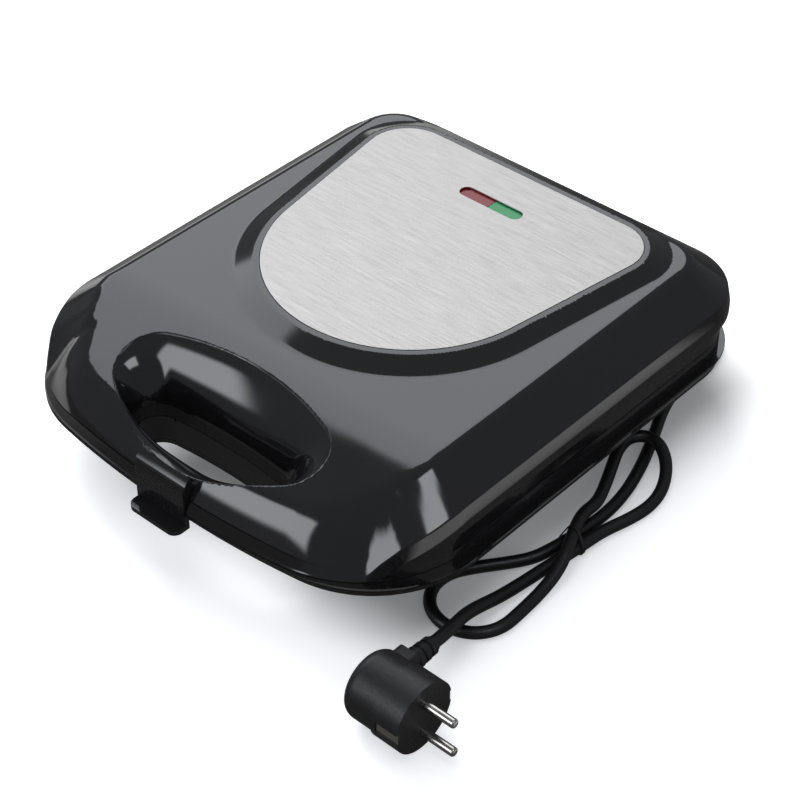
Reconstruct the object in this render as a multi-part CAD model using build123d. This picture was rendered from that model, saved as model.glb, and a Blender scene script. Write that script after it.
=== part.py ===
from build123d import *
from math import atan2, cos, pi, sin, sqrt, tan, radians
import os

# Walnut cake maker, closed and standing on its feet.
# Millimetres, +Z up, front with the hand hole towards -Y, floor at Z = 0.

# Body outline seen from above
half_width = 134.0
front_reach = 161.2
rear_reach = 154.0
front_bow_radius = 528.0
front_corner_radius = 68.0
rear_corner_radius = 42.0
wall = 2.6

# Heights of the body
seam_height = 44.0
seam_gap = 0.4
base_bottom_height = 28.6
base_edge_height = 33.5
base_edge_front_height = 42.3
base_undercut_side = 2.2
base_undercut_front = 11.0

# Lid form: upright wall, narrow band, wide bevel, flat and sloping top
lid_wall_height = 62.0
lid_wall_front_height = 45.2
lid_band_height = 70.0
lid_band_front_height = 47.0
lid_band_lean = 1.7
lid_top_height = 86.5
lid_slope_start = -92.0
lid_slope = 0.352
bevel_aim_height = 90.0
bevel_aim_side = 31.0
bevel_aim_front = 17.2
bevel_aim_rear = 28.0

# Grip channel that runs round the sides and the rear corners
channel_depth = 3.5
channel_bottom = 35.0
channel_top = 56.5
channel_front = -98.0
channel_end_radius = 6.0
channel_rear_half_width = 100.0

# Raised panel seat on the lid and the steel panel in it
panel_top_height = 91.2
panel_thickness = 0.8
panel_gap = 0.4
panel_front = -56.6
panel_back = 119.5
panel_nose_radius = 79.0
panel_side_taper = 8.8
panel_corner_radius = 24.0
seat_lip_width = 3.6
seat_lip_height = 91.0
ring_foot_front = -73.4
ring_foot_back = 133.0
ring_foot_nose_radius = 93.5
ring_foot_taper = 8.0
ring_foot_corner_radius = 34.0
ring_foot_height = 86.0
seat_ceiling = 2.8

# Lamp window in the panel
window_length = 42.0
window_width = 9.0
window_y = 87.5
lens_gap = 0.2
lens_top_drop = 1.3
lens_flange_width = 1.2
lens_depth = 3.6

# Hand hole
hole_front = -152.6
hole_back = -91.7
hole_front_radius = 100.0
hole_back_radius = 150.0
hole_end_radius = 20.0
throat_front = -143.0
throat_back = -112.5
throat_front_radius = 330.0
throat_back_radius = 330.0
throat_end_radius = 13.0
throat_height = 55.0
collar_height = 52.0
handle_void_front = -141.0

# Baking plates with walnut moulds
plate_width = 212.0
plate_depth = 186.0
plate_y = 29.0
plate_thickness = 3.0
plate_corner_radius = 8.0
plate_gap = 0.5
plate_face_gap = 0.3
mould_columns = 4
mould_rows = 3
mould_pitch_x = 47.0
mould_pitch_y = 56.0
mould_length = 39.0
mould_depth = 17.5
mould_wall = 2.5
mould_end_radius = 12.0
mould_rib_width = 1.4
mould_rib_height = 1.1
mould_rib_angle = 52.0
mould_rib_facets = 10
pillar_x = 102.4
pillar_y = 85.0
pillar_radius = 3.5

# Heating elements and their saddles
heater_diameter = 6.5
heater_start_x = -92.0
heater_bend_x = 68.0
heater_gap = 0.3
saddle_thickness = 1.0
saddle_width = 10.0
saddle_positions = (-60.0, 40.0)

# Reflector pans
pan_thickness = 0.8
pan_half_width = 95.3
pan_half_depth = 79.0
pan_drop = 1.2
pan_flange_half_width = 107.0
pan_flange_half_depth = 90.0

# Base cover with its tub and feet
cover_thickness = 2.4
cover_gap = 0.2
cover_inset = 0.6
tub_half_width = 99.0
tub_front = -82.0
tub_back = 128.0
tub_bottom = 7.0
tub_corner_radius = 12.0
vent_count = 7
vent_pitch = 9.0
vent_width = 3.0
vent_length = 60.0
foot_radius = 9.0
foot_recess = 1.5
foot_inset = 15.0

# Hinge
hinge_offset = 8.0
knuckle_radius = 7.0
knuckle_length = 17.2
ear_thickness = 6.0
ear_gap = 0.4
hinge_x = 62.0
hinge_pin_radius = 2.0
hinge_pin_fit = 0.08
hinge_head_radius = 3.4
hinge_head_thickness = 1.2

# Latch
latch_width = 34.0
latch_gap = 0.4
latch_pin_radius = 1.25
latch_pin_fit = 0.08
latch_pin_reach = 21.0
latch_pin_y = -152.2
latch_pin_z = 55.8
latch_outer_radius = 9.3
latch_thickness = 2.8
latch_bottom = 33.8
latch_tab_reach = 169.0
latch_tab_thickness = 2.8
latch_tab_radius = 5.0
latch_top_angle = 25.0
latch_swing = 18.0
latch_hook_height = 2.2
latch_hook_gap = 0.1
catch_reach = 1.0
catch_bottom = 39.2
catch_height = 2.0
latch_recess_y = -156.8

# Screws
screw_radius = 1.5
screw_head_radius = 3.0
screw_head_height = 1.8
boss_radius = 4.5
boss_gap = 0.3
post_radius = 5.2
post_bore_radius = 3.5

# Supply cord, strain relief, tie and plug
cord_diameter = 6.7
gland_x = 64.0
gland_z = 17.0
gland_length = 22.0
gland_root_radius = 5.4
gland_tip_radius = 4.4
gland_rib_count = 4
gland_rib_depth = 0.7
gland_flange_radius = 6.8
gland_neck_radius = 4.2
plug_face_x = 174.3
plug_y = -164.8
plug_z = 19.4
plug_radius = 19.0
plug_nose_length = 16.0
plug_body_depth = 20.0
plug_cord_x = 147.0
plug_cord_y = -127.0
pin_spacing = 19.0
pin_length = 19.0
pin_radius = 2.4
earth_clip_width = 6.0
earth_clip_thickness = 0.8
boot_length = 24.0
boot_rib_count = 5
tie_thickness = 0.55
tie_gap = 0.2
tie_width = 1.8

plate_low_face = seam_height - plate_face_gap / 2
plate_high_face = seam_height + plate_face_gap / 2
lid_bottom = seam_height + seam_gap / 2
base_top = seam_height - seam_gap / 2
hinge_y = rear_reach + hinge_offset
hinge_z = seam_height
inner_inset = channel_depth + wall
cover_top = base_bottom_height - cover_gap
pan_flange_low = cover_top + boss_gap
pillar_end = pan_flange_low + pan_thickness + boss_gap
mould_bottom = plate_low_face - mould_depth - mould_wall
upper_pan_top = 2 * seam_height - pan_flange_low
mirror_plane = Plane(origin=(0, 0, seam_height))
cord_radius = cord_diameter / 2

parts = {}


# Body outline and lofted forms


def loop(side, front, rear, z_side, z_front, corner_shift=0.0):
    """Closed wire of the body outline, moved in at the side, front and rear."""
    w = half_width - side
    f = front_reach - front
    r = rear_reach - rear
    bow = front_bow_radius - front
    corner = front_corner_radius - corner_shift
    back = rear_corner_radius - corner_shift
    bow_y = bow - f
    corner_y = bow_y - sqrt((bow - corner) ** 2 - (w - corner) ** 2)
    ux = (w - corner) / (bow - corner)
    uy = (corner_y - bow_y) / (bow - corner)
    tx, ty = bow * ux, bow_y + bow * uy
    turn = atan2(uy, ux) / 2
    mx, my = w - corner + corner * cos(turn), corner_y + corner * sin(turn)
    mz = z_side + (z_front - z_side) * (corner_y - my) / (corner_y - ty)
    s = back * sqrt(0.5)
    bx, by = w - back, r - back
    return Wire([
        ThreePointArc((-tx, ty, z_front), (0, -f, z_front), (tx, ty, z_front)),
        ThreePointArc((tx, ty, z_front), (mx, my, mz), (w, corner_y, z_side)),
        Line((w, corner_y, z_side), (w, by, z_side)),
        ThreePointArc((w, by, z_side), (bx + s, by + s, z_side), (bx, r, z_side)),
        Line((bx, r, z_side), (-bx, r, z_side)),
        ThreePointArc((-bx, r, z_side), (-bx - s, by + s, z_side), (-w, by, z_side)),
        Line((-w, by, z_side), (-w, corner_y, z_side)),
        ThreePointArc((-w, corner_y, z_side), (-mx, my, mz), (-tx, ty, z_front)),
    ])


def prism(inset, bottom, top, front_inset=None):
    """Upright solid on the body outline."""
    front = inset if front_inset is None else front_inset
    low = loop(inset, front, inset, bottom, bottom, inset)
    high = loop(inset, front, inset, top, top, inset)
    return Solid.make_loft([low, high], ruled=True)


def slab(x0, x1, y0, y1, z0, z1):
    return Pos((x0 + x1) / 2, (y0 + y1) / 2, (z0 + z1) / 2) * Box(x1 - x0, y1 - y0, z1 - z0)


def side_profile(points, half_length):
    """Solid with an outline of (y, z) points, extruded both ways along X."""
    return extrude(Plane.YZ * make_face(Polyline(*points, close=True)), half_length, both=True)


def rod(x, y, z0, z1, radius):
    return Pos(x, y, (z0 + z1) / 2) * Cylinder(radius, z1 - z0)


def lid_form(inset, bottom):
    """Outer form of the lid, or its cavity when inset is the wall."""
    lower = inset * 0.7
    wires = [
        loop(inset, inset, inset, bottom, bottom, inset),
        loop(inset, inset, inset, lid_wall_height - lower / 2, lid_wall_front_height, inset),
        loop(inset + lid_band_lean, inset + lid_band_lean, inset + lid_band_lean,
             lid_band_height - lower, lid_band_front_height, inset + lid_band_lean),
        loop(bevel_aim_side + inset, bevel_aim_front + inset, bevel_aim_rear + inset,
             bevel_aim_height - lower, bevel_aim_height - lower, 0.0),
    ]
    form = Solid.make_loft(wires, ruled=True)
    top = lid_top_height - inset
    far = front_reach + 40
    low_end = top - lid_slope * (far + lid_slope_start)
    cut = side_profile([(rear_reach + 40, top), (lid_slope_start, top), (-far, low_end),
                        (-far, top + 40), (rear_reach + 40, top + 40)], half_width + 20)
    return form - cut


def shield(front, back, nose_radius, taper, corner, z):
    """Wire of the panel's outline: round nose, straight tapering sides, square back."""
    a = radians(taper)
    cy = front + nose_radius
    px, py = nose_radius * cos(a), cy - nose_radius * sin(a)
    bx = px + (back - py) * tan(a)
    half_turn = (pi / 2 + a) / 2
    leg = corner * tan((pi / 2 + a) / 2)
    sx, sy = bx - leg * sin(a), back - leg * cos(a)
    ex = bx - leg
    ox, oy = ex, back - corner
    mx, my = ox + corner * sin(half_turn), oy + corner * cos(half_turn)
    return Wire([
        ThreePointArc((-px, py, z), (0, front, z), (px, py, z)),
        Line((px, py, z), (sx, sy, z)),
        ThreePointArc((sx, sy, z), (mx, my, z), (ex, back, z)),
        Line((ex, back, z), (-ex, back, z)),
        ThreePointArc((-ex, back, z), (-mx, my, z), (-sx, sy, z)),
        Line((-sx, sy, z), (-px, py, z)),
    ])


def panel_wire(grow, z):
    return shield(panel_front - grow, panel_back + grow, panel_nose_radius + grow,
                  panel_side_taper, panel_corner_radius + grow, z)


def oval(front, back, front_radius, back_radius, end_radius, grow, plane):
    """Wire of the hand hole: two long arcs joined by round ends."""
    f, b = front - grow, back + grow
    rf, rb, re = front_radius + grow, back_radius + grow, end_radius + grow
    fy, by = f + rf, b - rb
    df, db = rf - re, rb - re
    ey = (db ** 2 - df ** 2 - by ** 2 + fy ** 2) / (2 * (fy - by))
    ex = sqrt(df ** 2 - (ey - fy) ** 2)
    fx, fty = ex * rf / df, fy + (ey - fy) * rf / df
    bx, bty = ex * rb / db, by + (ey - by) * rb / db
    vx, vy = ex / df + ex / db, (ey - fy) / df + (ey - by) / db
    v = sqrt(vx ** 2 + vy ** 2)
    tipx, tipy = ex + re * vx / v, ey + re * vy / v
    arcs = [
        ThreePointArc((-fx, fty), (0, f), (fx, fty)),
        ThreePointArc((fx, fty), (tipx, tipy), (bx, bty)),
        ThreePointArc((bx, bty), (0, b), (-bx, bty)),
        ThreePointArc((-bx, bty), (-tipx, tipy), (-fx, fty)),
    ]
    return Wire([plane * a for a in arcs])


def level(z):
    return Plane(origin=(0, 0, z))


def hole_in_lid(grow):
    """Funnel of the hand hole, from above the sloping top down to the throat."""
    rise = atan2(lid_slope, 1)
    mid_y = (hole_front + hole_back) / 2
    mid_z = lid_top_height + lid_slope * (mid_y - lid_slope_start)
    slope_plane = Plane(origin=(0, mid_y, mid_z), x_dir=(1, 0, 0), z_dir=(0, -sin(rise), cos(rise)))
    half = (hole_back - hole_front) / 2 / cos(rise)
    top = oval(-half, half, hole_front_radius, hole_back_radius, hole_end_radius, grow, slope_plane)
    high = oval(-half, half, hole_front_radius, hole_back_radius, hole_end_radius, grow,
                slope_plane.offset(30))
    throat = oval(throat_front, throat_back, throat_front_radius, throat_back_radius,
                  throat_end_radius, grow, level(throat_height))
    foot = oval(throat_front, throat_back, throat_front_radius, throat_back_radius,
                throat_end_radius, grow, level(lid_bottom - 5))
    return (Solid.make_loft([throat, top], ruled=True) + Solid.make_loft([top, high], ruled=True)
            + Solid.make_loft([foot, throat], ruled=True))


def throat_prism(grow, bottom, top):
    wires = [oval(throat_front, throat_back, throat_front_radius, throat_back_radius,
                  throat_end_radius, grow, level(z)) for z in (bottom, top)]
    return Solid.make_loft(wires, ruled=True)


def channel():
    """Everything the grip channel takes away from lid and base."""
    far = rear_reach + 30
    band = side_profile([(channel_front, channel_bottom), (far, channel_bottom),
                         (far, channel_top), (channel_front, channel_top)], half_width + 20)
    ends = [e for e in band.edges().filter_by(Axis.X) if abs(e.center().Y - channel_front) < 0.01]
    band = fillet(ends, channel_end_radius)
    core = prism(channel_depth, channel_bottom - 5, channel_top + 5)
    rear = slab(-channel_rear_half_width, channel_rear_half_width, 0, far,
                channel_bottom - 5, channel_top + 5)
    return band - core - rear


def plate_opening(grow, z0, z1):
    block = slab(-plate_width / 2 - grow, plate_width / 2 + grow, plate_y - plate_depth / 2 - grow,
                 plate_y + plate_depth / 2 + grow, z0, z1)
    return fillet(block.edges().filter_by(Axis.Z), plate_corner_radius + grow)


def pillar_places():
    return [(sx * pillar_x, plate_y + sy * pillar_y) for sx in (-1, 1) for sy in (-1, 1)]


grip_channel = channel()


# Lid shell: glossy moulding with the panel seat and the funnel of the hand hole


lid_outer = lid_form(0.0, lid_bottom)
seat = Solid.make_loft([
    shield(ring_foot_front, ring_foot_back, ring_foot_nose_radius, ring_foot_taper,
           ring_foot_corner_radius, ring_foot_height),
    panel_wire(seat_lip_width, seat_lip_height),
], ruled=True)
lid_outer = lid_outer + (seat - slab(-200, 200, -200, 200, 0, lid_top_height - 1.5))

lid_void = lid_form(wall, lid_bottom - 1) & prism(inner_inset, lid_bottom - 1, 120)
lid_void = lid_void - slab(-200, 200, -300, handle_void_front, 0, 120)
seat_void = Solid.make_loft([panel_wire(-2.0, lid_top_height - wall - 1),
                             panel_wire(-2.0, panel_top_height - panel_thickness - seat_ceiling)],
                            ruled=True)
funnel_wall = (hole_in_lid(wall) & lid_outer) - slab(-200, 200, -200, 200, 0, collar_height + 0.2)
shell_ceiling = lid_top_height - wall

lid_posts = []
for px, py in pillar_places():
    post = rod(px, py, upper_pan_top + boss_gap, shell_ceiling + 1, post_radius)
    lid_posts.append(post - rod(px, py, upper_pan_top, upper_pan_top + 3.0, post_bore_radius))
liner_bosses = []
liner_places = [(sx * 116.0, y) for sx in (-1, 1) for y in (-62.0, 29.0, 118.0)]
for px, py in liner_places:
    liner_bosses.append(rod(px, py, lid_bottom + wall + boss_gap, shell_ceiling, boss_radius))

lid_shell = lid_outer - (lid_void + seat_void) + funnel_wall
for post in lid_posts + liner_bosses:
    lid_shell = lid_shell + (post & lid_form(0.5, lid_bottom))
collar_seat = throat_prism(wall + boss_gap, lid_bottom - 1, collar_height + boss_gap)
lid_shell = lid_shell - hole_in_lid(0.0) - grip_channel - collar_seat
pocket = Solid.make_loft([panel_wire(panel_gap, panel_top_height - panel_thickness),
                          panel_wire(panel_gap, panel_top_height + 5)], ruled=True)
lid_shell = lid_shell - pocket


def window(grow, z0, z1):
    plan = Plane(origin=(0, window_y, z0)) * SlotOverall(window_length + 2 * grow,
                                                       window_width + 2 * grow)
    return extrude(plan, z1 - z0)


lid_shell = lid_shell - window(lens_gap, 80, 95)
lamp_post_z = 78.0
lamp_post_x = 30.0
for sx in (-1, 1):
    lid_shell = lid_shell + rod(sx * lamp_post_x, window_y, lamp_post_z,
                                panel_top_height - panel_thickness - 0.5, 2.5)
latch_hw = latch_width / 2 + latch_gap
notch_lean = tan(radians(latch_top_angle - latch_swing - 2))


def pin_sector(inner, outer, half_length):
    """Ring round the latch pin, as long as the latch is wide."""
    spot = Plane(origin=(0, latch_pin_y, latch_pin_z), z_dir=(1, 0, 0))
    ring = Circle(outer) - Circle(inner) if inner else Circle(outer)
    return extrude(spot * ring, half_length, both=True)


front_far = -front_reach - 20
notch_top = lid_top_height
notch = side_profile([
    (latch_pin_y, latch_pin_z), (latch_pin_y - notch_lean * (notch_top - latch_pin_z), notch_top),
    (front_far, notch_top), (front_far, seam_height - 2), (latch_recess_y, seam_height - 2),
    (latch_recess_y, latch_pin_z - 5), (latch_pin_y, latch_pin_z - 5)], latch_hw)
hub_radius = latch_pin_radius + 1.9
notch = notch + pin_sector(0, hub_radius + latch_gap, latch_hw)
lid_shell = lid_shell - notch
lid_shell = lid_shell - pin_sector(0, latch_pin_radius, latch_pin_reach)


# Hinge knuckles of the lid and ears of the base, on one axis behind the body


def knuckle(x0, x1, web, bore):
    disc = Pos((x0 + x1) / 2, hinge_y, hinge_z) * Rot(0, 90, 0) * Cylinder(knuckle_radius, x1 - x0)
    arm = Pos((x0 + x1) / 2, 0, 0) * side_profile(web, (x1 - x0) / 2)
    hole = Pos((x0 + x1) / 2, hinge_y, hinge_z) * Rot(0, 90, 0) * Cylinder(bore, x1 - x0 + 2)
    return disc + arm - hole


arm_y = hinge_y + knuckle_radius * cos(radians(60))
arm_rise = knuckle_radius * sin(radians(60))
lid_web = [(rear_reach - 1, lid_bottom + 1), (rear_reach - 1, lid_wall_height),
           (arm_y, hinge_z + arm_rise), (hinge_y, hinge_z)]
base_web = [(rear_reach - 3, base_top - 1), (rear_reach - 3, base_edge_height - 1),
            (arm_y, hinge_z - arm_rise), (hinge_y, hinge_z)]
ear_inner = knuckle_length / 2 + ear_gap
for sx in (-1, 1):
    cx = sx * hinge_x
    lid_shell = lid_shell + knuckle(cx - knuckle_length / 2, cx + knuckle_length / 2, lid_web,
                                    hinge_pin_radius + hinge_pin_fit)
parts["lid_shell"] = lid_shell

pins = []
for sx in (-1, 1):
    reach = ear_inner + ear_thickness
    pin = Rot(0, 90, 0) * Cylinder(hinge_pin_radius, 2 * reach)
    head = Pos(sx * (reach + hinge_head_thickness / 2), 0, 0) * Rot(0, 90, 0) * Cylinder(
        hinge_head_radius, hinge_head_thickness)
    pins.append(Pos(sx * hinge_x, hinge_y, hinge_z) * (pin + head))
parts["hinge_pins"] = pins


# Lid liner: frame that closes the lid round the plate and the hand hole


liner_inset = inner_inset + plate_gap
lid_liner = prism(liner_inset, lid_bottom, lid_bottom + wall)
lid_liner = lid_liner - slab(-200, 200, -300, handle_void_front + plate_gap, 0, 100)
lid_liner = lid_liner + throat_prism(wall, lid_bottom, collar_height)
lid_liner = lid_liner - throat_prism(0.0, lid_bottom - 1, collar_height + 1)
lid_liner = lid_liner - plate_opening(plate_gap, lid_bottom - 1, lid_bottom + wall + 1)
rim = plate_opening(plate_gap + wall, lid_bottom, lid_bottom + 2 * wall)
lid_liner = lid_liner + (rim - plate_opening(plate_gap, lid_bottom - 1, lid_bottom + 3 * wall))
for px, py in liner_places:
    lid_liner = lid_liner - rod(px, py, lid_bottom - 1, lid_bottom + wall + 1, screw_radius + 0.2)
    lid_liner = lid_liner - rod(px, py, lid_bottom - 1, lid_bottom + screw_head_height, screw_head_radius + 0.2)
parts["lid_liner"] = lid_liner


def screw(x, y, head_bottom, length, up=1):
    """Screw with a pan head; the shank points up or down from the head."""
    head = Pos(0, 0, screw_head_height / 2) * Cylinder(screw_head_radius, screw_head_height)
    shank = Pos(0, 0, screw_head_height + length / 2) * Cylinder(screw_radius, length)
    body = head + shank
    return Pos(x, y, head_bottom) * (body if up > 0 else Rot(180, 0, 0) * body)


def pilot(x, y, z0, z1):
    return rod(x, y, z0, z1, screw_radius)


liner_screw_length = 14.0
for px, py in liner_places:
    parts["lid_shell"] = parts["lid_shell"] - pilot(px, py, lid_bottom, lid_bottom + screw_head_height
                                                    + liner_screw_length)
parts["lid_screws"] = [screw(px, py, lid_bottom, liner_screw_length) for px, py in liner_places]


# Steel panel, lenses and lamps


steel_panel = Solid.make_loft([panel_wire(0.0, panel_top_height - panel_thickness),
                               panel_wire(0.0, panel_top_height)], ruled=True)
steel_panel = steel_panel - window(0.0, 80, 95)
parts["steel_panel"] = steel_panel

lens_top = panel_top_height - lens_top_drop
lens_low = lens_top - lens_depth
ceiling_low = panel_top_height - panel_thickness - seat_ceiling
lens = window(0.0, lens_low, lens_top)
lens = lens + window(lens_flange_width, lens_low, ceiling_low - boss_gap)
half = slab(-60, -0.15, window_y - 20, window_y + 20, 60, 100)
parts["red_lens"] = lens & half
parts["green_lens"] = lens & half.mirror(Plane.YZ)

board_thickness = 1.6
board_top = lamp_post_z - boss_gap
lamp_board = slab(-lamp_post_x - 5, lamp_post_x + 5, window_y - 8, window_y + 8,
                  board_top - board_thickness, board_top)
parts["lamp_board"] = lamp_board
lamp_radius = 2.6
lamp_length = lens_low - 0.6 - board_top
for name, sx in (("red_lamp", -1), ("green_lamp", 1)):
    bulb = rod(sx * window_length / 4, window_y, board_top, board_top + lamp_length, lamp_radius)
    parts[name] = fillet(bulb.edges().group_by(Axis.Z)[-1], lamp_radius * 0.6)


# Baking plates: a cast plate with rows of walnut shaped moulds


def spindle(grow):
    """Walnut form: an oval of three arcs turned round its long axis."""
    a, b, r = mould_length / 2 + grow, mould_depth + grow, mould_end_radius + grow
    d = a - r
    h = (d ** 2 - (b - r) ** 2) / (2 * (b - r))
    reach = sqrt(d ** 2 + h ** 2)
    tx, ty = d + r * d / reach, r * h / reach
    half_turn = atan2(h, d) / 2
    mx, my = d + r * cos(half_turn), r * sin(half_turn)
    outline = make_face([
        ThreePointArc((-a, 0), (-mx, my), (-tx, ty)),
        ThreePointArc((-tx, ty), (0, b), (tx, ty)),
        ThreePointArc((tx, ty), (mx, my), (a, 0)),
        Line((a, 0), (-a, 0)),
    ])
    return revolve(outline, Axis.X, 360)


def rib_form(angle, reach):
    """Wall across a mould, open in the middle, that leaves a low rib on the skin."""
    deep = mould_depth - mould_rib_height
    turns = [pi * n / mould_rib_facets for n in range(mould_rib_facets + 1)]
    outline = [(reach * cos(t), -deep * sin(t)) for t in turns] + [(-reach, 5.0), (reach, 5.0)]
    middle = extrude(Plane.XZ * make_face(Polyline(*outline, close=True)), mould_rib_width, both=True)
    return Rot(0, 0, angle) * (Box(3 * mould_length, mould_rib_width, 3 * mould_length) - middle)


def mould_cut():
    """Cavity with the raised ribs of the walnut shell left standing in it."""
    long_reach = mould_length / 2 - mould_rib_height
    slant_reach = (mould_length / 2 + mould_depth) / 2 - mould_rib_height
    cut = spindle(0.0) & slab(-60, 60, -60, 60, -60, 1)
    for angle, reach in ((0, long_reach), (mould_rib_angle, slant_reach), (-mould_rib_angle, slant_reach)):
        cut = cut - rib_form(angle, reach)
    return cut


mould_places = []
for row in range(mould_rows):
    for column in range(mould_columns):
        mx = (column - (mould_columns - 1) / 2) * mould_pitch_x
        my = plate_y + (row - (mould_rows - 1) / 2) * mould_pitch_y
        mould_places.append((mx, my))

bowl = spindle(mould_wall) & slab(-60, 60, -60, 60, -60, -plate_thickness / 2)
cavity = mould_cut()
lower_plate = plate_opening(0.0, plate_low_face - plate_thickness, plate_low_face)
lower_plate = lower_plate + [Pos(mx, my, plate_low_face) * bowl for mx, my in mould_places]
lower_plate = lower_plate + [rod(px, py, pillar_end, plate_low_face - 1, pillar_radius)
                             for px, py in pillar_places()]
lower_plate = lower_plate - [Pos(mx, my, plate_low_face) * cavity for mx, my in mould_places]
lower_plate = lower_plate - [pilot(px, py, pillar_end - 1, pillar_end + 7)
                             for px, py in pillar_places()]
parts["lower_plate"] = lower_plate
parts["upper_plate"] = mirror(lower_plate, mirror_plane)


# Heating elements under and over the plates


heater_radius = heater_diameter / 2
heater_z = plate_low_face - plate_thickness - heater_gap - heater_radius
heater_y = mould_pitch_y / 2


def heater():
    y0, y1 = plate_y - heater_y, plate_y + heater_y
    path = Wire([
        Line((heater_start_x, y0, heater_z), (heater_bend_x, y0, heater_z)),
        ThreePointArc((heater_bend_x, y0, heater_z), (heater_bend_x + heater_y, plate_y, heater_z),
                      (heater_bend_x, y1, heater_z)),
        Line((heater_bend_x, y1, heater_z), (heater_start_x, y1, heater_z)),
    ])
    start = Plane(origin=(heater_start_x, y0, heater_z), z_dir=(1, 0, 0))
    return sweep(start * Circle(heater_radius), path=path)


def across(x0, x1, y, z, radius):
    return Pos((x0 + x1) / 2, y, z) * Rot(0, 90, 0) * Cylinder(radius, x1 - x0)


ends = []
for y in (plate_y - heater_y, plate_y + heater_y):
    bead = across(heater_start_x - 8, heater_start_x, y, heater_z, heater_radius)
    ends.append(bead + across(heater_start_x - 15, heater_start_x - 7, y, heater_z, 1.2))
saddles = []
for x in saddle_positions:
    for y in (plate_y - heater_y, plate_y + heater_y):
        clear = heater_radius + 0.2
        ring = across(x - saddle_width / 2, x + saddle_width / 2, y, heater_z, clear + saddle_thickness)
        ears = slab(x - saddle_width / 2, x + saddle_width / 2, y - 7.2, y + 7.2,
                    heater_z + heater_radius - saddle_thickness, heater_z + heater_radius)
        ring = ring - slab(x - 20, x + 20, y - 20, y + 20, heater_z + heater_radius, heater_z + 20)
        bore = across(x - saddle_width, x + saddle_width, y, heater_z, clear)
        saddles.append(ring + ears - bore)
parts["lower_heater"] = heater()
parts["upper_heater"] = mirror(parts["lower_heater"], mirror_plane)
parts["lower_heater_ends"] = ends
parts["upper_heater_ends"] = [mirror(e, mirror_plane) for e in ends]
parts["lower_heater_saddles"] = saddles
parts["upper_heater_saddles"] = [mirror(s, mirror_plane) for s in saddles]


# Reflector pans that keep the heat off the mouldings


pan_low = mould_bottom - pan_drop - pan_thickness
pan = slab(-pan_flange_half_width, pan_flange_half_width, plate_y - pan_flange_half_depth,
           plate_y + pan_flange_half_depth, pan_flange_low, pan_flange_low + pan_thickness)
dish = slab(-pan_half_width, pan_half_width, plate_y - pan_half_depth, plate_y + pan_half_depth,
            pan_low, pan_flange_low + pan_thickness)
inside = slab(-pan_half_width + pan_thickness, pan_half_width - pan_thickness,
              plate_y - pan_half_depth + pan_thickness, plate_y + pan_half_depth - pan_thickness,
              pan_low + pan_thickness, pan_flange_low + 5)
pan = pan + dish - inside
for px, py in pillar_places():
    pan = pan - rod(px, py, pan_flange_low - 1, pan_flange_low + 2, screw_radius + 0.3)
parts["lower_reflector"] = pan
parts["upper_reflector"] = mirror(pan, mirror_plane)
lower_screw_head = cover_top - cover_thickness - screw_head_height
lower_screw_length = pillar_end + 6 - (cover_top - cover_thickness)
parts["lower_plate_screws"] = [screw(px, py, lower_screw_head, lower_screw_length)
                               for px, py in pillar_places()]
upper_screw_length = 6 + boss_gap + pan_thickness
parts["upper_plate_screws"] = [screw(px, py, upper_pan_top + screw_head_height, upper_screw_length, -1)
                               for px, py in pillar_places()]


# Base shell: outer wall and deck in one moulding


def base_form(grow=0.0):
    wires = [
        loop(base_undercut_side, base_undercut_front, base_undercut_side, base_bottom_height,
             base_bottom_height, base_undercut_side),
        loop(grow, grow, grow, base_edge_height, base_edge_front_height, grow),
        loop(grow, grow, grow, base_top, base_top, grow),
    ]
    return Solid.make_loft(wires, ruled=True)


base_shell = base_form()
base_void = prism(inner_inset, base_bottom_height - 1, base_top - wall)
base_void = base_void - slab(-200, 200, -300, handle_void_front, 0, 100)
base_shell = base_shell - base_void + throat_prism(wall, base_bottom_height, base_top)
base_places = liner_places
for px, py in base_places:
    base_shell = base_shell + rod(px, py, cover_top + boss_gap, base_top - 1, boss_radius)
base_shell = base_shell - throat_prism(0.0, base_bottom_height - 1, base_top + 1)
base_shell = base_shell - plate_opening(plate_gap, base_top - wall - 1, base_top + 1) - grip_channel
base_shell = base_shell - slab(-latch_hw, latch_hw, front_far, handle_void_front + 1, 20, base_top + 1)
for sx in (-1, 1):
    cx = sx * hinge_x
    for side in (-1, 1):
        a, b = cx + side * ear_inner, cx + side * (ear_inner + ear_thickness)
        base_shell = base_shell + knuckle(min(a, b), max(a, b), base_web, hinge_pin_radius)
base_screw_length = 10.0
for px, py in base_places:
    base_shell = base_shell - pilot(px, py, cover_top - 1, cover_top - cover_thickness + base_screw_length)
parts["base_shell"] = base_shell


# Catch block: closes the front bar of the base behind the latch and carries the catch for its hook


catch_block = base_form() & slab(-latch_hw, latch_hw, latch_recess_y, handle_void_front + 1,
                                 base_bottom_height, base_top)
catch_block = catch_block - throat_prism(0.0, base_bottom_height - 1, base_top + 1)
catch = slab(-latch_hw, latch_hw, latch_recess_y - catch_reach, latch_recess_y + 2,
             catch_bottom, catch_bottom + catch_height)
parts["catch_block"] = catch_block + catch


# Base cover: closes the base from below, with the tub that holds pan and wiring


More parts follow.
